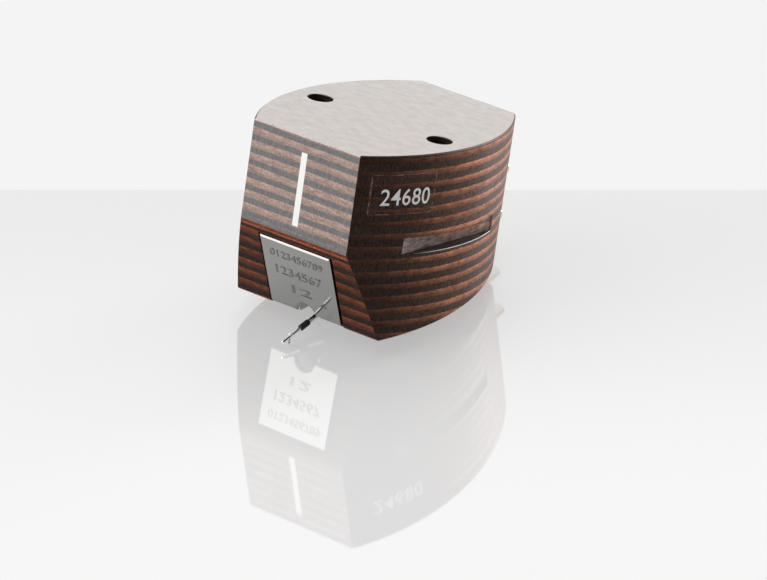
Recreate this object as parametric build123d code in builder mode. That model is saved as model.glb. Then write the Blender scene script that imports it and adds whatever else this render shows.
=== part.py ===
from build123d import *
import os
from math import atan2, cos, radians, sin, tan

# A stereo phono cartridge with a block body of laminated wood.
# Millimetres. The origin is midway between the two mounting holes, on the flat top face
# that goes against the headshell. +X is to the right seen from the stylus end, -Y is the
# stylus end, +Y is the terminal end and +Z is up.

# Wooden body, seen from above
front_y = -9.95
rear_y = 12.70
front_half_width = 5.60
rear_half_width = 5.00
side_radius = 19.3
rear_corner_radius = 0.5

# Wooden body, seen from the side: the toe is where the slanted face meets the underside
body_height = 16.36
crease_z = -8.70
toe_setback = 3.575
underside_rise = 9.5
bottom_chamfer = 0.18
edge_break = 0.12

# Mounting holes in the top face
mount_spacing = 12.7
mount_hole_radius = 1.13
mount_hole_depth = 6.0

# Finger grooves in the two sides
groove_wall_x = 7.85
groove_front_y = -5.35
groove_rear_y = 7.20
groove_top_z = -7.25
groove_height = 1.45

# White sight line let into the upper front face
sight_width = 0.60
sight_top_z = -1.40
sight_length = 6.40
sight_depth = 0.20

# Metal front plate in its recess on the slanted lower front face
plate_width = 7.40
plate_height = 7.05
plate_thickness = 0.50
plate_rise = 0.36
plate_bevel = 0.12
plate_notch_radius = 1.00
recess_depth = 0.32
recess_side_gap = 0.22
recess_top_gap = 0.08

# Stylus arm: its pivot lies in the middle plane, and it slopes down towards the stylus
pivot_behind_toe = 4.025
pivot_above_toe = 0.73
arm_slope = 20.3
arm_length = 7.50
rod_radius = 0.14
rod_overlap = 1.20
sleeve_radius = 0.27
sleeve_front = 5.05
sleeve_rear = 4.00
tube_radius = 0.21
tube_wall = 0.06
tube_lap = 0.40
tube_tail = 1.15
glue_gap = 0.01

# Stylus
stylus_setback = 1.03
shank_radius = 0.075
shank_above = 0.24
shank_below = 0.50
diamond_length = 0.24
diamond_point = 0.015

# Rubber damper and the holder that carries it
damper_radius = 0.85
damper_width = 0.60
damper_bore_gap = 0.04
damper_seat_gap = 0.03
damper_shoulder_gap = 0.08
shoulder_inset = 0.25
holder_radius = 1.20
holder_front = 0.80
holder_wall_rear = 0.62
holder_floor = 0.32
trough_rear = 2.90
holder_rear = 4.60
anchor_radius = 0.36
anchor_rear = 4.30
wire_radius = 0.035
wire_tail = 0.10

# Magnets, set in a V behind the pivot
magnet_s = 1.50
magnet_radius = 0.28
magnet_inner = 0.33
magnet_outer = 1.50
magnet_lean = 45.0
carrier_radius = 0.48
carrier_arm_reach = 0.95
carrier_arm_width = 0.80
carrier_front = 1.00
carrier_rear = 1.95
carrier_bore_radius = 0.27

# Pole cores, one for each channel, with a coil on each leg
core_x = 1.85
core_thickness = 0.70
leg_width = 0.90
leg_spacing = 3.50
pole_gap = 1.00
pole_width = 0.50
pole_low_u = 0.90
pole_high_u = 1.90
leg_foot_u = 2.90
yoke_low_u = 9.20
yoke_height = 0.90
bobbin_low_u = 3.00
bobbin_high_u = 8.90
bobbin_drum_radius = 0.78
flange_radius = 1.50
flange_thickness = 0.35
coil_radius = 1.38
slide_gap = 0.03

# Generator housing, a moulded box let into the body from below
housing_wall = 0.50
housing_floor = 0.60
housing_gap = 0.05
room_side_gap = 0.15
room_end_gap = 0.10
room_top_gap = 0.20
arm_slot_gap = 0.10

# Terminal block and pins in the rear face
pin_radius = 0.60
pin_tail_radius = 0.40
pin_spacing_x = 3.80
pin_spacing_z = 4.20
pin_centre_z = -8.60
pin_tip_y = 16.90
pin_tail_y = 8.90
pin_chamfer = 0.15
block_margin = 1.00
block_thickness = 2.80
block_inset = 0.30
block_gap = 0.05
lead_room_gap = 0.20
lead_passage_radius = 1.40

# Places that follow from the sizes above
toe_y = front_y + toe_setback
toe_z = -body_height
pivot_y = toe_y + pivot_behind_toe
pivot_z = toe_z + pivot_above_toe
block_back_y = rear_y - block_inset - block_thickness

# Directions in the middle plane that follow from the arm's slope
arm_cos = cos(radians(arm_slope))
arm_sin = sin(radians(arm_slope))
rearward = Vector(0, arm_cos, arm_sin)
upward = Vector(0, -arm_sin, arm_cos)
pivot = Vector(0, pivot_y, pivot_z)

# arm_plane looks along the arm, with its normal towards the stylus and its y up.
# side_plane is the middle plane, with its x rearward along the arm and its y up.
# leg_plane lies across the legs of the cores, with its normal up and its y rearward.
arm_plane = Plane(origin=pivot, x_dir=(1, 0, 0), z_dir=-rearward)
side_plane = Plane(origin=pivot, x_dir=rearward, z_dir=(1, 0, 0))
leg_plane = Plane(origin=pivot, x_dir=(1, 0, 0), z_dir=upward)

# The slanted lower front face: origin at the toe, x to the right, y up along the face
slant = atan2(toe_y - front_y, crease_z - toe_z)
face_plane = Plane(origin=(0, toe_y, toe_z), x_dir=(1, 0, 0), z_dir=(0, -cos(slant), -sin(slant)))
front_face_plane = Plane(origin=(0, front_y, 0), x_dir=(1, 0, 0), z_dir=(0, -1, 0))
block_back_plane = Plane(origin=(0, block_back_y, 0), x_dir=(-1, 0, 0), z_dir=(0, 1, 0))

# Sizes that several pieces share
core_front_leg = magnet_s - leg_spacing / 2
core_rear_leg = magnet_s + leg_spacing / 2
room_half_width = core_x + flange_radius + room_side_gap
room_front = core_front_leg - flange_radius - room_end_gap
room_rear = core_rear_leg + flange_radius + room_end_gap
room_top = yoke_low_u + yoke_height + room_top_gap
holder_slot_radius = holder_radius + arm_slot_gap
block_half_width = pin_spacing_x / 2 + pin_radius + block_margin - block_gap
block_half_height = pin_spacing_z / 2 + pin_radius + block_margin - block_gap
cut_margin = 4.0


def underside_u(s):
    """Height of the body's underside above the arm's axis, s behind the pivot."""
    rise = tan(radians(underside_rise))
    depth = toe_z + (pivot_y - toe_y) * rise - pivot_z
    slope = tan(radians(arm_slope - underside_rise))
    return depth * (arm_cos + arm_sin * slope) - s * slope


def behind(s):
    """The plane across the arm, s behind the pivot."""
    return arm_plane.offset(-s)


# The notch in the plate is centred on its lower edge, and a channel follows it through the wood
notch_centre = face_plane.from_local_coords(Vector(0, plate_rise, 0))
channel_rise = (notch_centre - pivot).dot(upward)

os.makedirs("parts", exist_ok=True)

# Wooden body: the outline from above meets the outline from the side
with BuildPart() as wood_body:
    with BuildSketch(Plane.XY):
        with BuildLine():
            Line((-front_half_width, front_y), (front_half_width, front_y))
            RadiusArc((front_half_width, front_y), (rear_half_width, rear_y), -side_radius)
            Line((rear_half_width, rear_y), (-rear_half_width, rear_y))
            RadiusArc((-rear_half_width, rear_y), (-front_half_width, front_y), -side_radius)
        make_face()
    extrude(amount=toe_z)
    fillet(wood_body.edges().filter_by(Axis.Z).group_by(Axis.Y)[-1], radius=rear_corner_radius)
    with BuildSketch(Plane.YZ):
        with BuildLine():
            end_y = rear_y + cut_margin
            Polyline(
                (front_y - cut_margin, cut_margin),
                (front_y - cut_margin, crease_z),
                (front_y, crease_z),
                (toe_y, toe_z),
                (end_y, toe_z + (end_y - toe_y) * tan(radians(underside_rise))),
                (end_y, cut_margin),
                close=True,
            )
        make_face()
    extrude(amount=side_radius, both=True, mode=Mode.INTERSECT)
    chamfer(wood_body.faces().sort_by(Axis.Z)[0].edges(), length=bottom_chamfer)
    chamfer(wood_body.faces().sort_by(Axis.Z)[-1].edges(), length=edge_break)
    with Locations((-mount_spacing / 2, 0, 0), (mount_spacing / 2, 0, 0)):
        Hole(radius=mount_hole_radius, depth=mount_hole_depth)
    # Finger grooves with a flat inner wall
    groove_length = groove_rear_y - groove_front_y
    groove_reach = side_radius
    with BuildSketch(Plane.XY.offset(groove_top_z)):
        with Locations(
            (groove_wall_x + groove_reach / 2, groove_front_y + groove_length / 2),
            (-groove_wall_x - groove_reach / 2, groove_front_y + groove_length / 2),
        ):
            Rectangle(groove_reach, groove_length)
    extrude(amount=-groove_height, mode=Mode.SUBTRACT)
    # Slot for the white line
    with BuildSketch(front_face_plane):
        with Locations((0, sight_top_z - sight_length / 2)):
            Rectangle(sight_width, sight_length)
    extrude(amount=-sight_depth, mode=Mode.SUBTRACT)
    # Recess for the plate, open at the underside
    with BuildSketch(face_plane):
        recess_top = plate_rise + plate_height + recess_top_gap
        with Locations((0, (recess_top - cut_margin) / 2)):
            Rectangle(plate_width + 2 * recess_side_gap, recess_top + cut_margin)
    extrude(amount=-recess_depth, mode=Mode.SUBTRACT)
    # Pocket for the generator housing, square to the arm
    with BuildSketch(leg_plane.offset(-cut_margin)):
        with Locations((0, (room_front + room_rear) / 2)):
            Rectangle(
                2 * (room_half_width + housing_wall + housing_gap),
                room_rear - room_front + 2 * (housing_wall + housing_gap),
            )
    extrude(amount=cut_margin + room_top + housing_wall + housing_gap, mode=Mode.SUBTRACT)
    # Round-topped channel that lets the arm out below the plate
    with BuildSketch(behind(room_front)):
        with Locations((0, channel_rise)):
            Circle(plate_notch_radius)
        with Locations((0, channel_rise - cut_margin / 2)):
            Rectangle(2 * plate_notch_radius, cut_margin)
    extrude(amount=arm_length, mode=Mode.SUBTRACT)
    # Pocket for the terminal block, room for the pins' tails behind it, and the passage for the leads
    with BuildSketch(block_back_plane):
        with Locations((0, pin_centre_z)):
            Rectangle(2 * (block_half_width + block_gap), 2 * (block_half_height + block_gap))
    extrude(amount=cut_margin, mode=Mode.SUBTRACT)
    with BuildSketch(block_back_plane):
        with Locations((0, pin_centre_z)):
            Rectangle(pin_spacing_x + 2 * pin_radius, pin_spacing_z + 2 * pin_radius)
    extrude(amount=pin_tail_y - lead_room_gap - block_back_y, mode=Mode.SUBTRACT)
    with BuildSketch(block_back_plane):
        with Locations((0, pin_centre_z)):
            Circle(lead_passage_radius)
    extrude(amount=-block_back_y, mode=Mode.SUBTRACT)
wood_body.part.label = "wood_body"
export_step(wood_body.part, "parts/wood_body.step")

with BuildPart() as sight_line:
    with BuildSketch(front_face_plane.offset(-sight_depth)):
        with Locations((0, sight_top_z - sight_length / 2)):
            Rectangle(sight_width, sight_length)
    extrude(amount=sight_depth)
sight_line.part.label = "sight_line"
export_step(sight_line.part, "parts/sight_line.step")

with BuildPart() as front_plate:
    with BuildSketch(face_plane.offset(-recess_depth)):
        with Locations((0, plate_rise + plate_height / 2)):
            Rectangle(plate_width, plate_height)
        with Locations((0, plate_rise)):
            Circle(plate_notch_radius, mode=Mode.SUBTRACT)
    extrude(amount=plate_thickness)
    chamfer(front_plate.faces().sort_by(Axis((0, 0, 0), face_plane.z_dir))[-1].edges(), length=plate_bevel)
front_plate.part.label = "front_plate"
export_step(front_plate.part, "parts/front_plate.step")

# Generator housing: its floor follows the underside of the body
with BuildPart() as generator_housing:
    outer_front = room_front - housing_wall
    outer_rear = room_rear + housing_wall
    outer_top = room_top + housing_wall
    with BuildSketch(side_plane):
        with BuildLine():
            Polyline(
                (outer_front, underside_u(outer_front)),
                (outer_rear, underside_u(outer_rear)),
                (outer_rear, outer_top),
                (outer_front, outer_top),
                close=True,
            )
        make_face()
    extrude(amount=room_half_width + housing_wall, both=True)
    with BuildSketch(side_plane):
        with BuildLine():
            Polyline(
                (room_front, underside_u(room_front) + housing_floor),
                (room_rear, underside_u(room_rear) + housing_floor),
                (room_rear, room_top),
                (room_front, room_top),
                close=True,
            )
        make_face()
    extrude(amount=room_half_width, both=True, mode=Mode.SUBTRACT)
    # Slot for the stylus holder, and its way out through the front wall
    with BuildSketch(behind(holder_rear + arm_slot_gap)):
        Circle(holder_slot_radius)
        with Locations((0, -cut_margin / 2)):
            Rectangle(2 * holder_slot_radius, cut_margin)
    extrude(amount=holder_rear + arm_slot_gap - outer_front + cut_margin, mode=Mode.SUBTRACT)
    with BuildSketch(behind(room_front)):
        with Locations((0, channel_rise)):
            Circle(plate_notch_radius)
        with Locations((0, channel_rise / 2)):
            Rectangle(2 * plate_notch_radius, channel_rise)
    extrude(amount=housing_wall + cut_margin, mode=Mode.SUBTRACT)
    # Hole in the rear wall for the leads
    lead_hole_y = pivot_y + outer_rear * arm_cos
    with BuildSketch(Plane(origin=(0, rear_y, pin_centre_z), x_dir=(-1, 0, 0), z_dir=(0, -1, 0))):
        Circle(lead_passage_radius)
    extrude(amount=rear_y - lead_hole_y + outer_top * arm_sin - room_end_gap, mode=Mode.SUBTRACT)
generator_housing.part.label = "generator_housing"
export_step(generator_housing.part, "parts/generator_housing.step")

# Pole cores, bobbins and coils
for side, direction in (("left", -1), ("right", 1)):
    with BuildPart() as pole_core:
        with BuildSketch(side_plane.offset(direction * core_x)):
            with BuildLine():
                Polyline(
                    (magnet_s - pole_gap / 2, pole_low_u),
                    (magnet_s - pole_gap / 2, pole_high_u),
                    (core_front_leg + leg_width / 2, leg_foot_u),
                    (core_front_leg + leg_width / 2, yoke_low_u),
                    (core_rear_leg - leg_width / 2, yoke_low_u),
                    (core_rear_leg - leg_width / 2, leg_foot_u),
                    (magnet_s + pole_gap / 2, pole_high_u),
                    (magnet_s + pole_gap / 2, pole_low_u),
                    (magnet_s + pole_gap / 2 + pole_width, pole_low_u),
                    (core_rear_leg + leg_width / 2, leg_foot_u),
                    (core_rear_leg + leg_width / 2, yoke_low_u + yoke_height),
                    (core_front_leg - leg_width / 2, yoke_low_u + yoke_height),
                    (core_front_leg - leg_width / 2, leg_foot_u),
                    (magnet_s - pole_gap / 2 - pole_width, pole_low_u),
                    close=True,
                )
            make_face()
        extrude(amount=core_thickness / 2, both=True)
    pole_core.part.label = side + "_pole_core"
    export_step(pole_core.part, "parts/" + side + "_pole_core.step")

    for place, leg_s in (("front", core_front_leg), ("rear", core_rear_leg)):
        with BuildPart() as bobbin:
            with BuildSketch(leg_plane.offset(bobbin_low_u)):
                with Locations((direction * core_x, leg_s)):
                    Circle(bobbin_drum_radius)
            extrude(amount=bobbin_high_u - bobbin_low_u)
            for flange_low_u in (bobbin_low_u, bobbin_high_u - flange_thickness):
                with BuildSketch(leg_plane.offset(flange_low_u)):
                    with Locations((direction * core_x, leg_s)):
                        Circle(flange_radius)
                extrude(amount=flange_thickness)
            with BuildSketch(leg_plane.offset(bobbin_low_u)):
                with Locations((direction * core_x, leg_s)):
                    Rectangle(core_thickness + 2 * slide_gap, leg_width + 2 * slide_gap)
            extrude(amount=bobbin_high_u - bobbin_low_u, mode=Mode.SUBTRACT)
        bobbin.part.label = side + "_" + place + "_bobbin"
        export_step(bobbin.part, "parts/" + side + "_" + place + "_bobbin.step")

        with BuildPart() as coil:
            with BuildSketch(leg_plane.offset(bobbin_low_u + flange_thickness + slide_gap)):
                with Locations((direction * core_x, leg_s)):
                    Circle(coil_radius)
                    Circle(bobbin_drum_radius + slide_gap, mode=Mode.SUBTRACT)
            extrude(amount=bobbin_high_u - bobbin_low_u - 2 * (flange_thickness + slide_gap))
        coil.part.label = side + "_" + place + "_coil"
        export_step(coil.part, "parts/" + side + "_" + place + "_coil.step")

# Stylus holder: a round nose with the damper's seat, a trough under the magnets and a rear wall
with BuildPart() as stylus_holder:
    shoulder_s = damper_width / 2 + damper_shoulder_gap
    with BuildSketch(behind(holder_rear)):
        Circle(holder_radius)
    extrude(amount=holder_rear + holder_front)
    with BuildSketch(behind(trough_rear)):
        with Locations((0, holder_floor - holder_radius + cut_margin / 2)):
            Rectangle(2 * cut_margin, cut_margin)
    extrude(amount=trough_rear - holder_wall_rear, mode=Mode.SUBTRACT)
    with BuildSketch(behind(shoulder_s)):
        Circle(damper_radius + damper_seat_gap)
    extrude(amount=shoulder_s + holder_front, mode=Mode.SUBTRACT)
    with BuildSketch(behind(holder_wall_rear)):
        Circle(damper_radius - shoulder_inset)
    extrude(amount=holder_wall_rear, mode=Mode.SUBTRACT)
    with BuildSketch(behind(holder_rear)):
        Circle(anchor_radius + slide_gap)
    extrude(amount=holder_rear - trough_rear, mode=Mode.SUBTRACT)
stylus_holder.part.label = "stylus_holder"
export_step(stylus_holder.part, "parts/stylus_holder.step")

with BuildPart() as wire_anchor:
    with BuildSketch(behind(anchor_rear)):
        Circle(anchor_radius)
        Circle(wire_radius + slide_gap, mode=Mode.SUBTRACT)
    extrude(amount=anchor_rear - trough_rear)
wire_anchor.part.label = "wire_anchor"
export_step(wire_anchor.part, "parts/wire_anchor.step")

with BuildPart() as suspension_wire:
    with BuildSketch(behind(anchor_rear)):
        Circle(wire_radius)
    extrude(amount=anchor_rear + wire_tail)
suspension_wire.part.label = "suspension_wire"
export_step(suspension_wire.part, "parts/suspension_wire.step")

# Rubber damper: a ring with a ball-shaped rim, so that it can turn in its seat
with BuildPart() as damper_ring:
    with Locations(pivot):
        Sphere(damper_radius)
    with BuildSketch(behind(damper_width / 2)):
        Circle(damper_radius * 2)
    extrude(amount=damper_width, mode=Mode.INTERSECT)
    with BuildSketch(behind(damper_width / 2)):
        Circle(tube_radius + damper_bore_gap)
    extrude(amount=damper_width, mode=Mode.SUBTRACT)
damper_ring.part.label = "damper_ring"
export_step(damper_ring.part, "parts/damper_ring.step")

with BuildPart() as arm_tube:
    with BuildSketch(behind(tube_tail)):
        Circle(tube_radius)
        Circle(tube_radius - tube_wall, mode=Mode.SUBTRACT)
    extrude(amount=tube_tail + sleeve_rear + tube_lap)
arm_tube.part.label = "arm_tube"
export_step(arm_tube.part, "parts/arm_tube.step")

# Thin stylus rod, pierced for the stylus
stylus_y = pivot_y - (arm_length - stylus_setback) * arm_cos
stylus_z = pivot_z - (arm_length - stylus_setback) * arm_sin
with BuildPart() as arm_rod:
    with BuildSketch(behind(-sleeve_rear - tube_lap + rod_overlap)):
        Circle(rod_radius)
    extrude(amount=arm_length - sleeve_rear - tube_lap + rod_overlap)
    chamfer(arm_rod.edges().sort_by(Axis.Y)[0], length=rod_radius / 3)
    with BuildSketch(Plane.XY.offset(stylus_z - cut_margin / 2)):
        with Locations((0, stylus_y)):
            Circle(shank_radius + glue_gap)
    extrude(amount=cut_margin, mode=Mode.SUBTRACT)
arm_rod.part.label = "arm_rod"
export_step(arm_rod.part, "parts/arm_rod.step")

with BuildPart() as arm_sleeve:
    with BuildSketch(behind(-sleeve_rear)):
        Circle(sleeve_radius)
    extrude(amount=sleeve_front - sleeve_rear)
    chamfer(arm_sleeve.edges(), length=(sleeve_radius - tube_radius) / 2)
    with BuildSketch(behind(-sleeve_rear)):
        Circle(tube_radius + glue_gap)
    extrude(amount=tube_lap + glue_gap, mode=Mode.SUBTRACT)
    with BuildSketch(behind(-sleeve_rear)):
        Circle(rod_radius + glue_gap)
    extrude(amount=sleeve_front - sleeve_rear, mode=Mode.SUBTRACT)
arm_sleeve.part.label = "arm_sleeve"
export_step(arm_sleeve.part, "parts/arm_sleeve.step")

with BuildPart() as stylus_tip:
    foot_z = stylus_z - shank_below - diamond_length
    with BuildSketch(Plane.YZ):
        with BuildLine():
            Polyline(
                (stylus_y, foot_z),
                (stylus_y + diamond_point, foot_z),
                (stylus_y + shank_radius, foot_z + diamond_length),
                (stylus_y + shank_radius, stylus_z + shank_above),
                (stylus_y, stylus_z + shank_above),
                close=True,
            )
        make_face()
    revolve(axis=Axis((0, stylus_y, 0), (0, 0, 1)))
stylus_tip.part.label = "stylus_tip"
export_step(stylus_tip.part, "parts/stylus_tip.step")

# Magnet carrier on the tail of the tube, with a socket for each magnet
magnet_centre = pivot + rearward * magnet_s
lean_cos = cos(radians(magnet_lean))
lean_sin = sin(radians(magnet_lean))
left_magnet_plane = Plane(origin=magnet_centre, z_dir=upward * lean_cos - Vector(lean_sin, 0, 0))
right_magnet_plane = Plane(origin=magnet_centre, z_dir=upward * lean_cos + Vector(lean_sin, 0, 0))
with BuildPart() as magnet_carrier:
    with BuildSketch(behind(carrier_rear)):
        Circle(carrier_radius)
        for lean in (-magnet_lean, magnet_lean):
            reach_x = sin(radians(lean)) * carrier_arm_reach / 2
            reach_u = cos(radians(lean)) * carrier_arm_reach / 2
            with Locations((reach_x, reach_u)):
                Rectangle(carrier_arm_width, carrier_arm_reach, rotation=-lean)
    extrude(amount=carrier_rear - carrier_front)
    with BuildSketch(behind(carrier_rear)):
        Circle(carrier_bore_radius)
    extrude(amount=carrier_rear - tube_tail, mode=Mode.SUBTRACT)
    with BuildSketch(behind(carrier_rear)):
        Circle(tube_radius + glue_gap)
    extrude(amount=carrier_rear - carrier_front, mode=Mode.SUBTRACT)
    for magnet_plane in (left_magnet_plane, right_magnet_plane):
        with BuildSketch(magnet_plane.offset(magnet_inner - glue_gap)):
            Circle(magnet_radius + glue_gap)
        extrude(amount=carrier_arm_reach, mode=Mode.SUBTRACT)
magnet_carrier.part.label = "magnet_carrier"
export_step(magnet_carrier.part, "parts/magnet_carrier.step")

for side, magnet_plane in (("left", left_magnet_plane), ("right", right_magnet_plane)):
    with BuildPart() as magnet:
        with BuildSketch(magnet_plane.offset(magnet_inner)):
            Circle(magnet_radius)
        extrude(amount=magnet_outer - magnet_inner)
    magnet.part.label = side + "_magnet"
    export_step(magnet.part, "parts/" + side + "_magnet.step")

# Terminal block with four stepped pins
with BuildPart() as terminal_block:
    with BuildSketch(block_back_plane):
        with Locations((0, pin_centre_z)):
            Rectangle(2 * block_half_width, 2 * block_half_height)
            with GridLocations(pin_spacing_x, pin_spacing_z, 2, 2):
                Circle(pin_tail_radius + slide_gap, mode=Mode.SUBTRACT)
    extrude(amount=block_thickness)
terminal_block.part.label = "terminal_block"
export_step(terminal_block.part, "parts/terminal_block.step")

for side, direction in (("left", -1), ("right", 1)):
    for role, level in (("signal", 1), ("ground", -1)):
        pin_x = direction * pin_spacing_x / 2
        pin_z = pin_centre_z + level * pin_spacing_z / 2
        with BuildPart() as pin:
            with BuildSketch(Plane(origin=(pin_x, 0, pin_z), x_dir=(0, 1, 0), z_dir=(1, 0, 0))):
                with BuildLine():
                    Polyline(
                        (pin_tail_y, 0),
                        (pin_tail_y, pin_tail_radius),
                        (rear_y - block_inset, pin_tail_radius),
                        (rear_y - block_inset, pin_radius),
                        (pin_tip_y - pin_chamfer, pin_radius),
                        (pin_tip_y, pin_radius - pin_chamfer),
                        (pin_tip_y, 0),
                        close=True,
                    )
                make_face()
            revolve(axis=Axis((pin_x, 0, pin_z), (0, 1, 0)))
        pin.part.label = side + "_" + role + "_pin"
        export_step(pin.part, "parts/" + side + "_" + role + "_pin.step")
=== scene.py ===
from math import asin, cos, pi, radians, sin, sqrt

import bmesh
import bpy
from mathutils import Matrix, Vector


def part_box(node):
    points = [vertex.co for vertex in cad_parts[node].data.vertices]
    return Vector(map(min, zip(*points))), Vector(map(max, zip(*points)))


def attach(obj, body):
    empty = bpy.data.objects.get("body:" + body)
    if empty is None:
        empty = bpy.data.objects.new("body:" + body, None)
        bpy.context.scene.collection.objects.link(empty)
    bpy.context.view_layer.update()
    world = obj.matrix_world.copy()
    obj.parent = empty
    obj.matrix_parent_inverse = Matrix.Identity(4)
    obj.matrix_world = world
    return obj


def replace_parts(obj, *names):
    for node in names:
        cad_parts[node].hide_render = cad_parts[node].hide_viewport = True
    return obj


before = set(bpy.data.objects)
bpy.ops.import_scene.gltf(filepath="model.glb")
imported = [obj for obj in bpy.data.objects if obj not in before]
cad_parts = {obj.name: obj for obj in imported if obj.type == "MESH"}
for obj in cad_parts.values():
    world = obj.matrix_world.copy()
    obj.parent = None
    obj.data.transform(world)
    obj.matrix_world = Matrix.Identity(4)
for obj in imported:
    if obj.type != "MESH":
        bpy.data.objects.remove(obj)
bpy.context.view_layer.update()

# Sizes of the cartridge in millimetres, as the solids have them. The origin is midway between
# the two mounting holes on the top face, +Z is up and the stylus end is at -Y.
MM = 0.001
PLY_PITCH = 1.10
PLY_START = 0.22
LENGTHWISE_SHARE = 0.44
FRONT_Y = -9.95
REAR_Y = 12.70
FRONT_HALF_WIDTH = 5.60
REAR_HALF_WIDTH = 5.00
SIDE_RADIUS = 19.3
CREASE_Z = -8.70
TOE = (-6.375, -16.36)
GROOVE_WALL_X = 7.85
GROOVE_Z = (-8.70, -7.25)
GROOVE_REAR_Y = 7.20
MOUNT_X = 6.35
MOUNT_HOLE_RADIUS = 1.13
MOUNT_HOLE_DEPTH = 6.0
PLATE_PROUD = 0.18
PLATE_NOTCH_RADIUS = 1.00
CHANNEL_END = (-2.6, -14.3)
ARM_PIVOT = Vector((0.0, -2.35, -15.63))
ARM_SLOPE = radians(20.3)
STYLUS_REACH = 6.47
ROD_RADIUS = 0.14

# Number label on the right side
LABEL_Y = (-8.85, -2.90)
LABEL_Z = (-5.10, -1.60)
DIGITS_Y = (-7.95, -3.42)
DIGITS_Z = (-4.30, -2.86)
FILM_THICKNESS = 0.04
FILM_COLUMNS = 24
DIGITS_THICKNESS = 0.02

# The bowed side is an arc about this point
chord = Vector((REAR_HALF_WIDTH - FRONT_HALF_WIDTH, REAR_Y - FRONT_Y))
bow = sqrt(SIDE_RADIUS**2 - (chord.length / 2) ** 2)
side_centre = Vector((FRONT_HALF_WIDTH, FRONT_Y)) + chord / 2 + Vector((-chord.y, chord.x)).normalized() * bow


class Value:
    """A socket of a node tree. Python's operators on it add Math nodes."""

    def __init__(self, nodes, socket):
        self.nodes = nodes
        self.socket = socket

    def math(self, operation, *others):
        return self.nodes.add("ShaderNodeMath", {"operation": operation}, dict(enumerate((self,) + others)))

    def __add__(self, other):
        return self.math("ADD", other)

    def __sub__(self, other):
        return self.math("SUBTRACT", other)

    def __rsub__(self, other):
        return self.nodes.add("ShaderNodeMath", {"operation": "SUBTRACT"}, {0: other, 1: self})

    def __mul__(self, other):
        return self.math("MULTIPLY", other)

    def __truediv__(self, other):
        return self.math("DIVIDE", other)

    def __neg__(self):
        return self * -1.0

    def __abs__(self):
        return self.math("ABSOLUTE")

    __radd__ = __add__
    __rmul__ = __mul__

    def fraction(self):
        return self.math("FRACT")

    def floor(self):
        return self.math("FLOOR")

    def rise(self, low, high):
        """0 below low, 1 above high and a smooth step between them."""
        settings = {"interpolation_type": "SMOOTHSTEP"}
        sockets = {"Value": self, "From Min": low, "From Max": high}
        return self.nodes.add("ShaderNodeMapRange", settings, sockets)


class Nodes:
    """The nodes of a material, of the world or of a geometry tree."""

    def __init__(self, tree):
        self.tree = tree
        tree.nodes.clear()

    def add(self, kind, settings=None, sockets=None, output=0):
        """Adds a node: first its settings, then a value or a link for each socket."""
        node = self.tree.nodes.new(kind)
        for name, value in (settings or {}).items():
            setattr(node, name, value)
        by_identifier = {socket.identifier: socket for socket in node.inputs}
        for name, value in (sockets or {}).items():
            socket = by_identifier.get(name) or node.inputs[name]
            if isinstance(value, Value):
                self.tree.links.new(value.socket, socket)
            else:
                socket.default_value = value
        return Value(self, node.outputs[output]) if node.outputs else node

    def place(self):
        """The place on the piece, in millimetres."""
        metres = self.add("ShaderNodeTexCoord", output="Object")
        return self.add("ShaderNodeVectorMath", {"operation": "SCALE"}, {0: metres, "Scale": 1.0 / MM})

    def split(self, vector):
        """The three numbers of a vector."""
        node = self.add("ShaderNodeSeparateXYZ", sockets={0: vector}).socket.node
        return [Value(self, socket) for socket in node.outputs]

    def stretched(self, vector, scale):
        return self.add("ShaderNodeVectorMath", {"operation": "MULTIPLY"}, {0: vector, 1: scale})

    def noise(self, vector, scale, detail=2.0, roughness=0.5):
        """Noise about 0.5, with so many lumps a millimetre along X, Y and Z."""
        sockets = {"Vector": self.stretched(vector, scale), "Scale": 1.0}
        sockets.update({"Detail": detail, "Roughness": roughness})
        return self.add("ShaderNodeTexNoise", sockets=sockets)

    def blend(self, factor, first, second):
        """A number between two others."""
        sockets = {"Factor_Float": factor, "A_Float": first, "B_Float": second}
        return self.add("ShaderNodeMix", {"data_type": "FLOAT"}, sockets)

    def tint(self, factor, first, second):
        """A colour between two others."""
        sockets = {"Factor_Float": factor}
        for name, colour in (("A_Color", first), ("B_Color", second)):
            sockets[name] = colour if isinstance(colour, Value) else (*colour, 1.0)
        return self.add("ShaderNodeMix", {"data_type": "RGBA"}, sockets, output=2)

    def shade(self, colour, factor):
        """A colour made lighter or darker by a factor."""
        return self.add("ShaderNodeVectorMath", {"operation": "SCALE"}, {0: colour, "Scale": factor})

    def bump(self, height, depth, strength=1.0):
        """A normal from a height of 0 to 1 that stands for so many millimetres."""
        sockets = {"Height": height, "Distance": depth * MM, "Strength": strength}
        return self.add("ShaderNodeBump", sockets=sockets)

    def surface(self, **sockets):
        """Ends a material in one plain surface shader."""
        named = {name.replace("_", " "): value for name, value in sockets.items()}
        shader = self.add("ShaderNodeBsdfPrincipled", sockets=named)
        self.add("ShaderNodeOutputMaterial", sockets={"Surface": shader})


def new_finish(name):
    material = bpy.data.materials.new(name)
    material.use_nodes = True
    return material, Nodes(material.node_tree)


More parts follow.
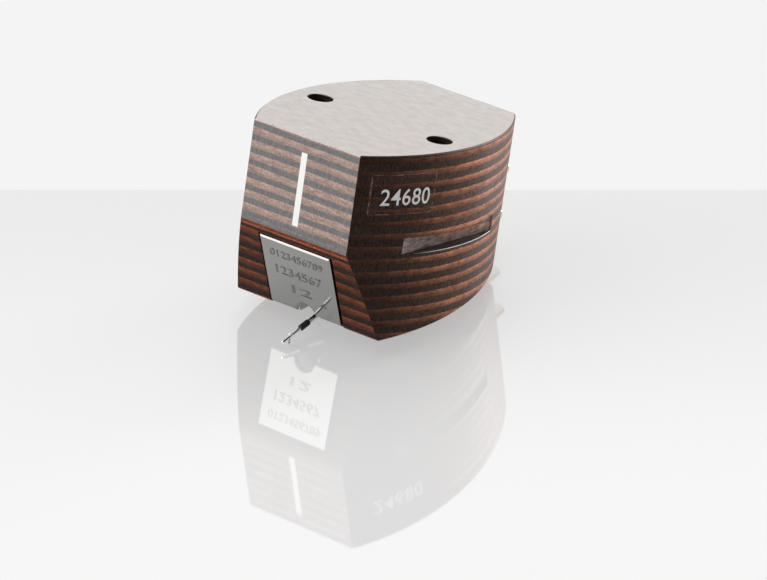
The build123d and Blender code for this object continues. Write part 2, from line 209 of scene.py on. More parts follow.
def laminated_wood():
    """Pressed veneers whose grain runs along X and along Y in turn, so each shows pale where its
    fibres lie in the surface and dark where the surface cuts across them."""
    material, wood = new_finish("laminated_wood")
    place = wood.place()
    x, y, z = wood.split(place)
    face_x, face_y, face_z = wood.split(wood.add("ShaderNodeTexCoord", output="Normal"))
    upper = z.rise(CREASE_Z - 0.03, CREASE_Z + 0.03)
    front = (-face_y).rise(0.60, 0.68) * upper
    slant = (-face_y).rise(0.60, 0.68) * (1.0 - upper)

    # Which veneer: u runs from 0 to 1 through a pair, and the first share has its fibres along Y
    drift = wood.noise(place, (0.15, 0.15, 0.5), 2.0) * 0.22 - 0.11
    fray = wood.noise(place, (5.0, 5.0, 1.6), 4.0, 0.75) * 0.26 - 0.13
    pair = (drift + fray - z - PLY_START) / PLY_PITCH
    u = pair.fraction()
    from_middle = abs((pair + (0.5 - LENGTHWISE_SHARE / 2)).fraction() - 0.5)
    half_share = LENGTHWISE_SHARE / 2
    lengthwise = 1.0 - from_middle.rise(half_share - 0.06, half_share + 0.06)
    through = wood.blend(lengthwise, (u - LENGTHWISE_SHARE) / (1.0 - LENGTHWISE_SHARE), u / LENGTHWISE_SHARE)
    veneer = pair.floor() * 2.0 + lengthwise.math("ROUND")
    luck = wood.add("ShaderNodeTexWhiteNoise", {"noise_dimensions": "1D"}, {"W": veneer})

    # How far the surface cuts across the fibres of that veneer. The two at the crease are a dark
    # one just above it and a bright one just below it.
    cut = wood.blend(lengthwise, abs(face_x), abs(face_y)).rise(0.22, 0.88)
    cut = cut.math("MAXIMUM", front * (1.0 - z.rise(CREASE_Z + 0.24, CREASE_Z + 0.34)))
    below = slant * z.rise(CREASE_Z - 0.60, CREASE_Z - 0.35)
    cut = cut * (1.0 - below)

    # Fibres along the surface: streaks and mottling, paler under the upper edge of each veneer
    along_y = wood.noise(place, (9.0, 1.1, 9.0), 5.0, 0.7)
    along_x = wood.noise(place, (1.1, 9.0, 9.0), 5.0, 0.7)
    streak = wood.blend(lengthwise, along_x, along_y)
    patch = wood.noise(place, (1.0, 1.0, 1.8), 4.0, 0.65)
    speck = wood.noise(place, (5.0, 5.0, 6.0), 4.0, 0.75)
    glow = streak.rise(0.30, 0.70) * 0.45 + patch.rise(0.34, 0.66) * 0.35 + speck.rise(0.35, 0.65) * 0.20
    # Painted sheen: the fibres are painted darker towards the stylus end and paler towards the rear, standing
    # in for the sheen they show in light from behind
    rear_sheen = y.rise(-9.5, 3.5)
    cloud = wood.noise(place, (0.22, 0.22, 0.45), 2.0)
    fleck = speck.rise(0.56, 0.68) * streak.rise(0.45, 0.60)
    light = (1.35 - through * 0.90) * (0.80 + luck * 0.40) * (0.62 + cloud * 0.76) * (1.0 + fleck * 0.55)
    light = light * wood.blend(slant, 0.16 + rear_sheen * 0.88, 0.42 + below * 0.36)
    red = wood.tint(glow, (0.120, 0.020, 0.006), (0.60, 0.150, 0.055))
    fibres = wood.tint(glow, (0.110, 0.036, 0.019), (0.56, 0.225, 0.122))
    fibres = wood.shade(wood.tint(slant * 0.8, fibres, red), light)

    # Fibres cut across: dark pores and small upright ticks
    pores = wood.noise(place, (7.0, 7.0, 2.4), 4.0, 0.75)
    # Painted sheen on the cut ends too: darker towards the stylus end, paler towards the rear
    dark = (0.80 + luck * 0.4) * wood.blend(slant, 0.54 + rear_sheen * 0.58, 0.36)
    ends = wood.shade(wood.tint(pores.rise(0.35, 0.72), (0.036, 0.019, 0.013), (0.110, 0.070, 0.055)), dark)
    colour = wood.tint(cut, fibres, ends)

    # Painted sheen: the upper front is painted paler and greyer, standing in for the haze of light its
    # lacquer reflects, with a painted highlight along its top edge
    sheen_mottle = speck.rise(0.32, 0.68) * 0.55 + streak.rise(0.36, 0.64) * 0.45
    sheen_fibres = wood.tint(sheen_mottle, (0.215, 0.152, 0.137), (0.575, 0.410, 0.342))
    sheen_fibres = wood.shade(sheen_fibres, 1.10 - through * 0.28)
    sheen_ends = wood.tint(pores.rise(0.30, 0.72), (0.134, 0.133, 0.139), (0.226, 0.220, 0.221))
    pale = wood.tint(cut, sheen_fibres, sheen_ends)
    # Painted highlight along the top edge of the upper front
    pale = wood.tint(face_z.rise(0.3, 0.6) * speck.rise(0.3, 0.5), pale, (0.54, 0.47, 0.45))
    colour = wood.tint(front, colour, pale)

    # The top is one veneer, finely brushed along X, painted pale: a light tone and a painted sheen of its
    # lacquer together
    brushed = wood.noise(place, (0.6, 12.0, 1.0), 5.0, 0.7)
    mottled = wood.noise(place, (0.7, 1.1, 1.0), 5.0, 0.7)
    rubbed = brushed.rise(0.2, 0.8) * 0.4 + mottled.rise(0.25, 0.75) * 0.6
    top_tone_and_sheen = wood.tint(rubbed, (0.308, 0.284, 0.269), (0.434, 0.413, 0.398))
    top = face_z.rise(0.75, 0.95) * z.rise(-0.5, -0.3)
    colour = wood.tint(top, colour, top_tone_and_sheen)

    # Painted shade: the mounting holes are darkened inside
    from_hole = wood.add("ShaderNodeCombineXYZ", sockets={0: abs(x) - MOUNT_X, 1: y})
    from_hole = wood.add("ShaderNodeVectorMath", {"operation": "LENGTH"}, {0: from_hole}, output="Value")
    hole_shade = 1.0 - from_hole.rise(MOUNT_HOLE_RADIUS + 0.01, MOUNT_HOLE_RADIUS + 0.03)
    hole_shade = hole_shade * (1.0 - z.rise(-0.12, -0.02))
    hole_shade = hole_shade * z.rise(-MOUNT_HOLE_DEPTH - 0.2, -MOUNT_HOLE_DEPTH - 0.1)
    colour = wood.tint(hole_shade, colour, wood.tint(pores, (0.012, 0.008, 0.006), (0.045, 0.026, 0.018)))

    # The grooves were milled after pressing: a matt even wall, with painted shade on their floor, a painted
    # highlight along their lower lip and painted light on their end wall
    in_height = z.rise(GROOVE_Z[0] - 0.01, GROOVE_Z[0]) * (1.0 - z.rise(GROOVE_Z[1] - 0.01, GROOVE_Z[1]))
    inside = in_height * (1.0 - abs(x).rise(GROOVE_WALL_X + 0.01, GROOVE_WALL_X + 0.03))
    inside = inside * abs(face_x).rise(0.98, 0.995) * abs(x).rise(GROOVE_WALL_X - 0.05, GROOVE_WALL_X - 0.02)
    scored = wood.noise(place, (4.0, 0.9, 11.0), 4.0, 0.7)
    scored = (scored * 0.6 + patch * 0.4).rise(0.34, 0.66)
    milled = wood.tint(scored, (0.085, 0.061, 0.053), (0.430, 0.345, 0.315))
    colour = wood.tint(inside * (0.92 - y.rise(-2.0, 3.0) * 0.35), colour, milled)
    # Painted shade: the floor of each groove is darkened
    groove_floor_shade = face_z.rise(0.7, 0.9) * (1.0 - z.rise(CREASE_Z + 0.02, CREASE_Z + 0.05))
    colour = wood.tint(groove_floor_shade * abs(x).rise(5.0, 5.1), colour, wood.shade(milled, 0.11))
    # Painted light: the end wall of each groove is painted lighter, though it lies in shade
    end_wall_light = (-face_y).rise(0.95, 0.98) * in_height * abs(x).rise(GROOVE_WALL_X, GROOVE_WALL_X + 0.02)
    colour = wood.tint(end_wall_light * y.rise(5.0, 6.0), colour, (0.70, 0.52, 0.45))
    from_axis = wood.add("ShaderNodeCombineXYZ", sockets={0: abs(x) - side_centre.x, 1: y - side_centre.y})
    from_axis = wood.add("ShaderNodeVectorMath", {"operation": "LENGTH"}, {0: from_axis}, output="Value")
    # Painted highlight: a thin bright line along the lower lip of each groove
    lip_highlight = 1.0 - abs(z - GROOVE_Z[0] + 0.01).rise(0.020, 0.035)
    lip_highlight = lip_highlight * from_axis.rise(SIDE_RADIUS - 0.05, SIDE_RADIUS - 0.03)
    lip_highlight = lip_highlight * y.rise(-4.5, -1.0) * (1.0 - y.rise(GROOVE_REAR_Y - 0.3, GROOVE_REAR_Y))
    lip_highlight = lip_highlight * abs(x).rise(GROOVE_WALL_X + 0.05, GROOVE_WALL_X + 0.10)
    colour = wood.tint(lip_highlight * speck.rise(0.25, 0.45), colour, (0.95, 0.93, 0.91))

    # Painted light: the channel under the plate is painted pale grey, so it looks as bright as the floor
    # around it, though it lies in shade
    channel_light = 1.0 - abs(x).rise(PLATE_NOTCH_RADIUS + 0.15, PLATE_NOTCH_RADIUS + 0.20)
    channel_light = channel_light * (1.0 - y.rise(CHANNEL_END[0], CHANNEL_END[0] + 0.1))
    channel_light = channel_light * (1.0 - z.rise(CHANNEL_END[1], CHANNEL_END[1] + 0.1))
    colour = wood.tint(channel_light, colour, wood.tint(streak, (0.78, 0.77, 0.75), (0.92, 0.91, 0.89)))

    grain = wood.blend(cut, streak, pores)
    relief = wood.blend(top, grain * 0.8 + (1.0 - cut) * 0.25, rubbed)
    wood.surface(
        Base_Color=colour,
        Roughness=wood.blend(top, 0.46 - glow * 0.12 + cut * 0.04, 0.44 + rubbed * 0.12),
        Specular_IOR_Level=0.08,
        Normal=wood.bump(relief, 0.012),
    )
    return material


def satin_plate():
    """Lapped light metal with a slight cloud, smooth enough to mirror the arm."""
    material, metal = new_finish("satin_plate")
    place = metal.place()
    grit = metal.noise(place, (16.0, 16.0, 16.0), 2.0, 0.6)
    cloud = metal.noise(place, (0.5, 0.5, 0.5), 2.0)
    metal.surface(
        Base_Color=metal.tint(grit * 0.5 + cloud * 0.5, (0.285, 0.285, 0.276), (0.375, 0.375, 0.365)),
        Metallic=1.0,
        Roughness=0.045 + grit * 0.035 + cloud * 0.02,
        Normal=metal.bump(grit, 0.0006),
    )
    return material


def plain_metal(name, dark, light, roughness, scale=(8.0, 8.0, 8.0), depth=0.002):
    """Drawn or plated metal with fine marks of that many a millimetre."""
    material, metal = new_finish(name)
    marks = metal.noise(metal.place(), scale, 3.0, 0.6)
    metal.surface(
        Base_Color=metal.tint(marks, dark, light),
        Metallic=1.0,
        Roughness=roughness * 0.8 + marks * (roughness * 0.4),
        Normal=metal.bump(marks, depth),
    )
    return material


def moulded(name, dark, light, roughness, coat=0.0, scale=(6.0, 6.0, 6.0), depth=0.004):
    """Plastic, rubber, paint or lacquer with a fine moulded skin."""
    material, plastic = new_finish(name)
    place = plastic.place()
    skin = plastic.noise(place, scale, 3.0, 0.6)
    cloud = plastic.noise(place, (0.6, 0.6, 0.6), 2.0)
    plastic.surface(
        Base_Color=plastic.tint(skin * 0.6 + cloud * 0.4, dark, light),
        Roughness=roughness * 0.85 + skin * (roughness * 0.3),
        Coat_Weight=coat,
        Coat_Roughness=0.08,
        Normal=plastic.bump(skin, depth),
    )
    return material


def clear_film():
    """Thin clear label film, seen by its gloss and by the dust that clings to its cut edge."""
    material, film = new_finish("clear_film")
    place = film.place()
    _, y, z = film.split(place)
    crinkle = film.noise(place, (1.5, 1.5, 1.5), 2.0)
    dust = film.noise(place, (1.0, 2.0, 2.0), 4.0, 0.75)
    inset = (y - LABEL_Y[0]).math("MINIMUM", LABEL_Y[1] - y)
    inset = inset.math("MINIMUM", (z - LABEL_Z[0]).math("MINIMUM", LABEL_Z[1] - z))
    rim = (1.0 - inset.rise(0.05, 0.11)) * dust.rise(0.36, 0.58)
    film.surface(
        Base_Color=film.tint(rim, (0.14, 0.06, 0.045), (0.50, 0.34, 0.28)),
        Roughness=0.10 + crinkle * 0.1,
        Alpha=0.02 + crinkle * 0.04 + rim * 0.24,
        Normal=film.bump(crinkle, 0.02),
    )
    return material


def diamond():
    """Ground stone, pale and glassy."""
    material, stone = new_finish("diamond")
    facets = stone.noise(stone.place(), (7.0, 7.0, 7.0), 1.0)
    stone.surface(
        Base_Color=stone.tint(facets.rise(0.42, 0.58), (0.05, 0.05, 0.06), (0.84, 0.86, 0.90)),
        Roughness=0.06 + facets * 0.06,
        Coat_Weight=1.0,
        IOR=2.0,
    )
    return material


def dress_solids():
    """Gives each solid its own finish."""
    plain_black = moulded("housing_plastic", (0.012, 0.012, 0.013), (0.028, 0.028, 0.030), 0.42)
    alloy = plain_metal("core_alloy", (0.42, 0.41, 0.39), (0.60, 0.59, 0.57), 0.30, (2.0, 2.0, 14.0))
    copper = plain_metal("coil_copper", (0.42, 0.16, 0.07), (0.75, 0.36, 0.20), 0.32, (3.0, 3.0, 22.0), 0.010)
    gold = plain_metal("pin_gold", (0.80, 0.68, 0.46), (0.92, 0.84, 0.66), 0.20, (3.0, 12.0, 12.0))
    finishes = {
        "wood_body": laminated_wood(),
        "sight_line": moulded("white_inlay", (0.83, 0.83, 0.81), (0.92, 0.92, 0.90), 0.45),
        "front_plate": satin_plate(),
        "generator_housing": plain_black,
        "stylus_holder": moulded("holder_plastic", (0.020, 0.020, 0.022), (0.040, 0.040, 0.044), 0.36),
        "wire_anchor": plain_metal("anchor_brass", (0.62, 0.44, 0.18), (0.80, 0.62, 0.32), 0.28),
        "suspension_wire": plain_metal("spring_wire", (0.55, 0.55, 0.56), (0.75, 0.75, 0.76), 0.22),
        "damper_ring": moulded("damper_rubber", (0.012, 0.012, 0.012), (0.030, 0.029, 0.028), 0.62),
        "arm_tube": plain_metal("arm_aluminium", (0.55, 0.55, 0.56), (0.75, 0.75, 0.76), 0.16),
        "arm_rod": plain_metal("arm_boron", (0.80, 0.80, 0.81), (0.96, 0.96, 0.97), 0.14),
        "arm_sleeve": moulded("black_sleeve", (0.005, 0.005, 0.005), (0.012, 0.011, 0.012), 0.66),
        "stylus_tip": diamond(),
        "magnet_carrier": moulded("carrier_plastic", (0.45, 0.44, 0.40), (0.58, 0.57, 0.53), 0.40),
        "terminal_block": moulded("block_plastic", (0.016, 0.016, 0.018), (0.034, 0.034, 0.037), 0.45),
    }
    nickel = plain_metal("magnet_nickel", (0.50, 0.49, 0.46), (0.68, 0.67, 0.64), 0.24)
    bobbin = moulded("bobbin_plastic", (0.40, 0.10, 0.06), (0.52, 0.15, 0.09), 0.38)
    for side in ("left", "right"):
        finishes[f"{side}_magnet"] = nickel
        finishes[f"{side}_pole_core"] = alloy
        for end in ("front", "rear"):
            finishes[f"{side}_{end}_bobbin"] = bobbin
            finishes[f"{side}_{end}_coil"] = copper
        for kind in ("signal", "ground"):
            finishes[f"{side}_{kind}_pin"] = gold
    for name, material in finishes.items():
        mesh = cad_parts[name].data
        mesh.materials.clear()
        mesh.materials.append(material)
    return finishes


def new_piece(name, body, material, vertices, faces):
    """A mesh piece in millimetres that rides on a body."""
    mesh = bpy.data.meshes.new(name)
    mesh.from_pydata([tuple(MM * c for c in vertex) for vertex in vertices], [], faces)
    mesh.materials.append(material)
    piece = bpy.data.objects.new(name, mesh)
    bpy.context.scene.collection.objects.link(piece)
    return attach(piece, body) if body else piece


def right_side(y, z, stand_off):
    """A point that far out from the bowed right side."""
    angle = asin((y - side_centre.y) / SIDE_RADIUS)
    reach = SIDE_RADIUS + stand_off
    return (side_centre.x + reach * cos(angle), side_centre.y + reach * sin(angle), z)


def number_label():
    """A clear film with five plain digits, wrapped on the right side."""
    low_z, high_z = LABEL_Z
    vertices = []
    for stand_off in (0.0, FILM_THICKNESS):
        for step in range(FILM_COLUMNS + 1):
            y = LABEL_Y[0] + (LABEL_Y[1] - LABEL_Y[0]) * step / FILM_COLUMNS
            vertices += [right_side(y, low_z, stand_off), right_side(y, high_z, stand_off)]
    outer = 2 * (FILM_COLUMNS + 1)
    faces = []
    for step in range(FILM_COLUMNS):
        a = 2 * step
        faces += [(outer + a, outer + a + 2, outer + a + 3, outer + a + 1), (a, a + 1, a + 3, a + 2)]
        faces += [(a + 1, outer + a + 1, outer + a + 3, a + 3), (a, a + 2, outer + a + 2, outer + a)]
    last = 2 * FILM_COLUMNS
    faces += [(0, outer, outer + 1, 1), (last, last + 1, outer + last + 1, outer + last)]
    new_piece("label_film", "body", clear_film(), vertices, faces)

    ink = moulded("label_ink", (0.84, 0.83, 0.83), (0.95, 0.94, 0.94), 0.5)

    def wrapped(across, up, thick):
        y = DIGITS_Y[0] + (DIGITS_Y[1] - DIGITS_Y[0]) * across
        z = DIGITS_Z[0] + (DIGITS_Z[1] - DIGITS_Z[0]) * up
        return right_side(y, z, FILM_THICKNESS + DIGITS_THICKNESS * thick)

    plain_numbers("label_digits", "24680", ink, wrapped, weight=0.004, spacing=1.06)


def plain_numbers(name, figures, material, place, weight, spacing):
    """Figures of slight thickness. Place turns a share of their width, height and thickness into a point."""
    text = bpy.data.curves.new(name, "FONT")
    text.body = figures
    text.offset = weight
    text.space_character = spacing
    text.resolution_u = 6
    text.extrude = 0.5
    source = bpy.data.objects.new(name, text)
    bpy.context.scene.collection.objects.link(source)
    bpy.context.view_layer.update()
    mesh = bpy.data.meshes.new_from_object(source.evaluated_get(bpy.context.evaluated_depsgraph_get()))
    bpy.data.objects.remove(source)
    lowest = [min(vertex.co[axis] for vertex in mesh.vertices) for axis in range(3)]
    highest = [max(vertex.co[axis] for vertex in mesh.vertices) for axis in range(3)]
    for vertex in mesh.vertices:
        shares = [(c - low) / (high - low) for c, low, high in zip(vertex.co, lowest, highest)]
        vertex.co = Vector(place(*shares)) * MM
    mesh.materials.clear()
    mesh.materials.append(material)
    piece = bpy.data.objects.new(name, mesh)
    bpy.context.scene.collection.objects.link(piece)
    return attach(piece, "body")


# Rows of plain numbers on the plate: the figures, then their middle above the toe along
# the slanted face, their height and their width
PLATE_ROWS = (("0123456789", 6.04, 0.76, 5.6), ("1234567", 4.31, 0.90, 4.9), ("12", 2.61, 0.80, 2.1))
CUT_DEPTH = 0.03


def plate_numbers():
    """Plain numbers in rows across the front plate."""
    material = plain_metal("cut_metal", (0.15, 0.145, 0.136), (0.26, 0.255, 0.243), 0.30, (12.0, 12.0, 12.0))
    toe = Vector((0, *TOE))
    up_face = Vector((0, FRONT_Y - TOE[0], CREASE_Z - TOE[1])).normalized()
    out = Vector((0, -up_face.z, up_face.y))
    for row, (figures, middle, height, width) in enumerate(PLATE_ROWS, 1):

        def on_plate(across, up, thick):
            sideways = Vector((width * (across - 0.5), 0, 0))
            along_face = up_face * (middle + height * (up - 0.5))
            return toe + sideways + along_face + out * (PLATE_PROUD + CUT_DEPTH * thick)

        plain_numbers(f"plate_numbers_{row}", figures, material, on_plate, weight=0.008, spacing=1.0)


def geometry_tree(name, inputs):
    """A geometry tree with named inputs, and those inputs as values."""
    tree = bpy.data.node_groups.new(name, "GeometryNodeTree")
    tree.interface.new_socket("Geometry", in_out="OUTPUT", socket_type="NodeSocketGeometry")
    for label, kind in inputs.items():
        tree.interface.new_socket(label, in_out="INPUT", socket_type=f"NodeSocket{kind}")
    nodes = Nodes(tree)
    given = nodes.add("NodeGroupInput").socket.node
    return tree, nodes, [Value(nodes, given.outputs[label]) for label in inputs]


def ring_stack():
    """Rings of wire in a row along Z, as the turns of a winding lie."""
    inputs = {"Count": "Int", "Pitch": "Float", "Ring Radius": "Float", "Wire Radius": "Float"}
    inputs["Finish"] = "Material"
    tree, rings, (count, pitch, ring_radius, wire_radius, finish) = geometry_tree("ring_stack", inputs)
    offset = rings.add("ShaderNodeCombineXYZ", sockets={2: pitch})
    line = rings.add("GeometryNodeMeshLine", sockets={"Count": count, "Offset": offset})
    path = rings.add("GeometryNodeCurvePrimitiveCircle", sockets={"Resolution": 24, "Radius": ring_radius})
    section = rings.add("GeometryNodeCurvePrimitiveCircle", sockets={"Resolution": 6, "Radius": wire_radius})
    ring = rings.add("GeometryNodeCurveToMesh", sockets={"Curve": path, "Profile Curve": section})
    smooth = rings.add("GeometryNodeSetShadeSmooth", sockets={"Geometry": ring})
    stack = rings.add("GeometryNodeInstanceOnPoints", sockets={"Points": line, "Instance": smooth})
    real = rings.add("GeometryNodeRealizeInstances", sockets={"Geometry": stack})
    done = rings.add("GeometryNodeSetMaterial", sockets={"Geometry": real, "Material": finish})
    rings.add("NodeGroupOutput", sockets={"Geometry": done})
    return tree


def screw_thread():
    """The ridge of a thread, winding down from the top along -Z."""
    inputs = {"Turns": "Float", "Pitch": "Float", "Radius": "Float", "Ridge": "Float", "Finish": "Material"}
    tree, thread, (turns, pitch, radius, ridge, finish) = geometry_tree("screw_thread", inputs)
    sockets = {"Resolution": 32, "Rotations": turns, "Start Radius": radius, "End Radius": radius}
    spiral = thread.add("GeometryNodeCurveSpiral", sockets={**sockets, "Height": turns * pitch * -1.0})
    section = thread.add("GeometryNodeCurvePrimitiveCircle", sockets={"Resolution": 3, "Radius": ridge})
    sockets = {"Curve": spiral, "Profile Curve": section, "Fill Caps": True}
    swept = thread.add("GeometryNodeCurveToMesh", sockets=sockets)
    real = thread.add("GeometryNodeRealizeInstances", sockets={"Geometry": swept})
    done = thread.add("GeometryNodeSetMaterial", sockets={"Geometry": real, "Material": finish})
    thread.add("NodeGroupOutput", sockets={"Geometry": done})
    return tree


def grown(name, tree, values, start, along=(0, 0, 1)):
    """A plain mesh from a geometry tree, from a point in millimetres and along a direction."""
    holder = bpy.data.objects.new(name, bpy.data.meshes.new(name))
    bpy.context.scene.collection.objects.link(holder)
    modifier = holder.modifiers.new("grow", "NODES")
    modifier.node_group = tree
    for item in tree.interface.items_tree:
        if item.in_out == "INPUT":
            modifier[item.identifier] = values[item.name]
    bpy.context.view_layer.update()
    mesh = bpy.data.meshes.new_from_object(holder.evaluated_get(bpy.context.evaluated_depsgraph_get()))
    holder.modifiers.clear()
    turn = Vector(along).to_track_quat("Z", "Y").to_matrix().to_4x4()
    mesh.transform(Matrix.Scale(MM, 4) @ Matrix.Translation(start) @ turn)
    holder.data = mesh
    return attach(holder, "body")


# Windings of copper wire on the four bobbins
COIL_LENGTH = 5.20
COIL_RADIUS = 1.38
WIRE_PITCH = 0.13
# Thread in the mounting holes
THREAD_PITCH = 0.45
THREAD_RIDGE = 0.09
THREAD_TOP = -0.35
# Coloured collar at the foot of each pin
COLLAR_RADIUS = 0.66
COLLAR_THICKNESS = 0.24
PIN_COLOURS = {
    "left_signal": ((0.70, 0.70, 0.68), (0.82, 0.82, 0.80)),
    "left_ground": ((0.02, 0.06, 0.30), (0.04, 0.10, 0.42)),
    "right_signal": ((0.42, 0.02, 0.02), (0.58, 0.04, 0.03)),
    "right_ground": ((0.02, 0.20, 0.05), (0.04, 0.30, 0.09)),
}


def middle_of(node):
    """The middle of a solid's box, in millimetres."""
    low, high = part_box(node)
    return (Vector(low) + Vector(high)) / (2 * MM)


def repeated_pieces(finishes):
    """The windings, the threads of the mounting holes and the collars of the pins."""
    rings = ring_stack()
    upward = Vector((0.0, -sin(ARM_SLOPE), cos(ARM_SLOPE)))
    turns = int(COIL_LENGTH / WIRE_PITCH)
    for side in ("left", "right"):
        for end in ("front", "rear"):
            coil = f"{side}_{end}_coil"
            values = {"Count": turns, "Pitch": WIRE_PITCH, "Ring Radius": COIL_RADIUS - WIRE_PITCH / 2}
            values.update({"Wire Radius": WIRE_PITCH / 2, "Finish": finishes[coil]})
            start = middle_of(coil) - upward * (turns - 1) * WIRE_PITCH / 2
            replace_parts(grown(f"{side}_{end}_winding", rings, values, start, upward), coil)

    thread = screw_thread()
    turns = (MOUNT_HOLE_DEPTH + THREAD_TOP) / THREAD_PITCH - 1.0
    for side, x in (("left", -MOUNT_X), ("right", MOUNT_X)):
        values = {"Turns": turns, "Pitch": THREAD_PITCH, "Ridge": THREAD_RIDGE}
        values.update({"Radius": MOUNT_HOLE_RADIUS, "Finish": finishes["wood_body"]})
        grown(f"{side}_mount_thread", thread, values, (x, 0.0, THREAD_TOP))

    block_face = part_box("terminal_block")[1][1] / MM
    for kind, (dark, light) in PIN_COLOURS.items():
        middle = middle_of(f"{kind}_pin")
        colour = moulded(f"{kind}_colour", dark, light, 0.35)
        values = {"Count": 1, "Pitch": COLLAR_THICKNESS, "Ring Radius": COLLAR_RADIUS}
        values.update({"Wire Radius": COLLAR_THICKNESS / 2, "Finish": colour})
        start = (middle.x, block_face + COLLAR_THICKNESS / 2, middle.z)
        grown(f"{kind}_collar", rings, values, start, (0, 1, 0))


# The drop of glue: its length along the rod, width and height, and how far its middle is
# behind the stylus and above the rod
GLUE_SIZE = (0.42, 0.30, 0.24)
GLUE_BEHIND = 0.12
GLUE_ABOVE = 0.03


def glue_bead():
    """A clear drop of glue that holds the stylus in its rod."""
    material = moulded("clear_glue", (0.84, 0.84, 0.84), (0.95, 0.95, 0.95), 0.10, 1.0)
    mesh = bmesh.new()
    bmesh.ops.create_icosphere(mesh, subdivisions=4, radius=0.5)
    forward = Vector((0.0, -cos(ARM_SLOPE), -sin(ARM_SLOPE)))
    above = Vector((0.0, -sin(ARM_SLOPE), cos(ARM_SLOPE)))
    centre = ARM_PIVOT + forward * (STYLUS_REACH - GLUE_BEHIND) + above * (ROD_RADIUS + GLUE_ABOVE)
    for vertex in mesh.verts:
        along, across, up = vertex.co
        lumpy = 1.0 + 0.12 * sin(7.0 * along + 3.0 * across)
        sideways = Vector((GLUE_SIZE[1] * across, 0, 0))
        offset = forward * (GLUE_SIZE[0] * along * lumpy) + sideways + above * (GLUE_SIZE[2] * up)
        vertex.co = (centre + offset) * MM
    data = bpy.data.meshes.new("glue_bead")
    mesh.to_mesh(data)
    mesh.free()
    data.shade_smooth()
    data.materials.append(material)
    bead = bpy.data.objects.new("glue_bead", data)
    bpy.context.scene.collection.objects.link(bead)
    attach(bead, "arm")


# The floor is a glossy pale sheet that tilts towards the camera: its height at the origin and
# its slopes along X and Y
FLOOR_HEIGHT = -17.017
FLOOR_SLOPE = (-0.010, 0.208)
# Two points of its far edge, its reach, and the distances between which it fades out
FLOOR_FAR_LEFT = (-37.4, -2.65)
FLOOR_FAR_RIGHT = (14.2, 40.2)
FLOOR_REACH = 120.0
FLOOR_FADE = (62.0, 100.0)
# Its grey where it lights the cartridge and where it is seen, its gloss from above and what a
# low angle adds to that
FLOOR_GREYS = (0.42, 0.56)
FLOOR_GLOSS = 0.02
LOW_ANGLE_GLOSS = 0.43
# The share of even white where it is seen, which dims along the floor in the photograph's
# direction of view
FLOOR_LIFT = 0.50
FLOOR_AWAY = (-0.57, 0.82)
DIM_FROM_TO = (-32.0, 22.0)
DIM_BY = 0.215
# How bright the wall behind is, and the side from which the room is brightest
WALL = 0.905
BRIGHT_AZIMUTH = 250
# The room's light on its dark side and what its bright side adds, and its dark side in a mirror
ROOM_LIGHT = (0.32, 0.86)
MIRRORED_DARK = 0.03
LAMP_AIM = Vector((0, 0, -0.008))


def ray_kinds(nodes):
    """Three values of 1 or 0: seen by the camera, seen in a mirror and seen through a glass."""
    rays = nodes.add("ShaderNodeLightPath").socket.node
    return [Value(nodes, rays.outputs[f"Is {kind} Ray"]) for kind in ("Camera", "Glossy", "Transmission")]


def studio_floor():
    """A pale sheet, glossy at a low angle, with a straight far edge, which fades out on the other sides."""
    material, floor = new_finish("studio_floor")
    place = floor.place()
    distance = floor.add("ShaderNodeVectorMath", {"operation": "LENGTH"}, {0: place}, output="Value")
    back = floor.add("ShaderNodeNewGeometry", output="Backfacing")
    shown = (1.0 - distance.rise(*FLOOR_FADE)) * (1.0 - back)
    camera, mirror, glass = ray_kinds(floor)
    seen = camera.math("MAXIMUM", mirror.math("MAXIMUM", glass))
    low_angle = floor.add("ShaderNodeLayerWeight", sockets={"Blend": 0.5}, output="Facing").rise(0.24, 0.50)
    unseen_grey, seen_grey = FLOOR_GREYS
    grey = floor.tint(seen, (unseen_grey,) * 3, (seen_grey,) * 3)
    matt = floor.add("ShaderNodeBsdfDiffuse", sockets={"Color": grey})
    gloss = floor.add("ShaderNodeBsdfGlossy", sockets={"Color": (1, 1, 1, 1), "Roughness": 0.03})
    share = seen * (FLOOR_GLOSS + low_angle * LOW_ANGLE_GLOSS)
    sheet = floor.add("ShaderNodeMixShader", sockets={0: share, 1: matt, 2: gloss})
    across, along, _ = floor.split(place)
    away = across * FLOOR_AWAY[0] + along * FLOOR_AWAY[1]
    dimmed = 1.0 - away.rise(*DIM_FROM_TO) * DIM_BY
    white = floor.add("ShaderNodeEmission", sockets={"Color": dimmed, "Strength": 1.0})
    lifted = floor.add("ShaderNodeMixShader", sockets={0: seen * FLOOR_LIFT, 1: sheet, 2: white})
    clear = floor.add("ShaderNodeBsdfTransparent")
    surface = floor.add("ShaderNodeMixShader", sockets={0: shown, 1: clear, 2: lifted})
    floor.add("ShaderNodeOutputMaterial", sockets={"Surface": surface})

    left, right = Vector(FLOOR_FAR_LEFT), Vector(FLOOR_FAR_RIGHT)
    middle = (left + right) / 2
    edge = (right - left).normalized()
    near = Vector((edge.y, -edge.x))
    corners = [middle - edge * FLOOR_REACH, middle + edge * FLOOR_REACH]
    corners += [corners[1] + near * 1.5 * FLOOR_REACH, corners[0] + near * 1.5 * FLOOR_REACH]
    vertices = [(c.x, c.y, FLOOR_HEIGHT + FLOOR_SLOPE[0] * c.x + FLOOR_SLOPE[1] * c.y) for c in corners]
    new_piece("studio_floor", None, material, vertices, [(3, 2, 1, 0)])


def direction(azimuth, elevation):
    """Where something stands, seen from the cartridge: azimuth 0 is in front of the stylus end."""
    a, e = radians(azimuth), radians(elevation)
    return Vector((sin(a) * cos(e), -cos(a) * cos(e), sin(e)))


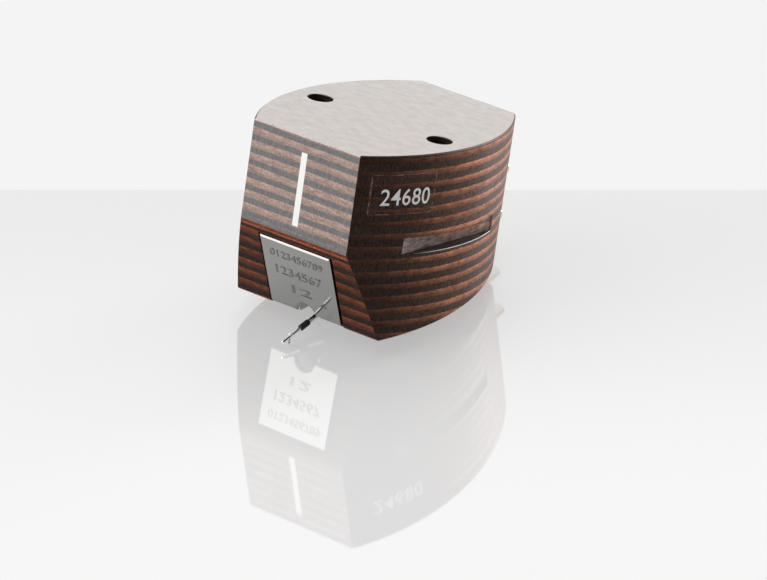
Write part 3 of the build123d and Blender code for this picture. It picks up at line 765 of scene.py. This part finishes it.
def studio_light():
    """A pale room that is bright on the left and behind and dark on the right, and three soft lamps."""
    world = bpy.data.worlds.new("studio")
    bpy.context.scene.world = world
    world.use_nodes = True
    room = Nodes(world.node_tree)
    looking = room.add("ShaderNodeTexCoord", output="Generated")
    sockets = {0: looking, 1: direction(BRIGHT_AZIMUTH, 0)}
    bright = room.add("ShaderNodeVectorMath", {"operation": "DOT_PRODUCT"}, sockets, output="Value")
    bright = bright.rise(-0.70, 0.30)
    camera, mirror, glass = ray_kinds(room)
    scattered = ROOM_LIGHT[0] + bright * ROOM_LIGHT[1]
    mirrored = MIRRORED_DARK + bright * (WALL - MIRRORED_DARK)
    strength = room.blend(camera.math("MAXIMUM", glass), room.blend(mirror, scattered, mirrored), WALL)
    lit = room.add("ShaderNodeBackground", sockets={"Color": (1, 1, 1, 1), "Strength": strength})
    room.add("ShaderNodeOutputWorld", sockets={"Surface": lit})

    # Azimuth, elevation, distance, width and height in metres, and brightness
    lamps = {
        "tall_front_lamp": (325, 20, 0.45, 0.36, 0.52, 2.0),
        "high_rear_lamp": (218, 68, 0.45, 0.22, 0.22, 5.0),
        "rear_right_lamp": (164, 16, 0.45, 0.14, 0.34, 20.0),
    }
    for name, (azimuth, elevation, away, width, height, brightness) in lamps.items():
        lamp = bpy.data.lights.new(name, "AREA")
        lamp.shape = "RECTANGLE"
        lamp.size = width
        lamp.size_y = height
        lamp.energy = brightness * pi * width * height
        holder = bpy.data.objects.new(name, lamp)
        towards = direction(azimuth, elevation)
        holder.location = towards * away + LAMP_AIM
        holder.rotation_euler = towards.to_track_quat("Z", "Y").to_euler()
        holder.visible_camera = False
        bpy.context.scene.collection.objects.link(holder)


# The camera stands in front on the right and leans a little: its place and what it looks at in
# millimetres, its lean in degrees and its lens in millimetres
CAMERA_PLACE = Vector((277.99, -395.77, 144.70))
CAMERA_AIM = Vector((2.912, 0.0, -14.360))
CAMERA_ROLL = 8.292
CAMERA_LENS = 282.26


def photograph_camera():
    """The camera at the photograph's view."""
    data = bpy.data.cameras.new("camera")
    data.lens = CAMERA_LENS
    data.sensor_width = 36.0
    data.clip_start = 0.01
    camera = bpy.data.objects.new("camera", data)
    back = CAMERA_PLACE - CAMERA_AIM
    turn = back.to_track_quat("Z", "Y").to_matrix() @ Matrix.Rotation(radians(CAMERA_ROLL), 3, "Z")
    camera.matrix_world = Matrix.Translation(CAMERA_PLACE * MM) @ turn.to_4x4()
    bpy.context.scene.collection.objects.link(camera)
    bpy.context.scene.camera = camera


photograph_camera()
finishes = dress_solids()
number_label()
plate_numbers()
repeated_pieces(finishes)
glue_bead()
studio_floor()
studio_light()
bpy.context.scene.view_settings.view_transform = "Standard"
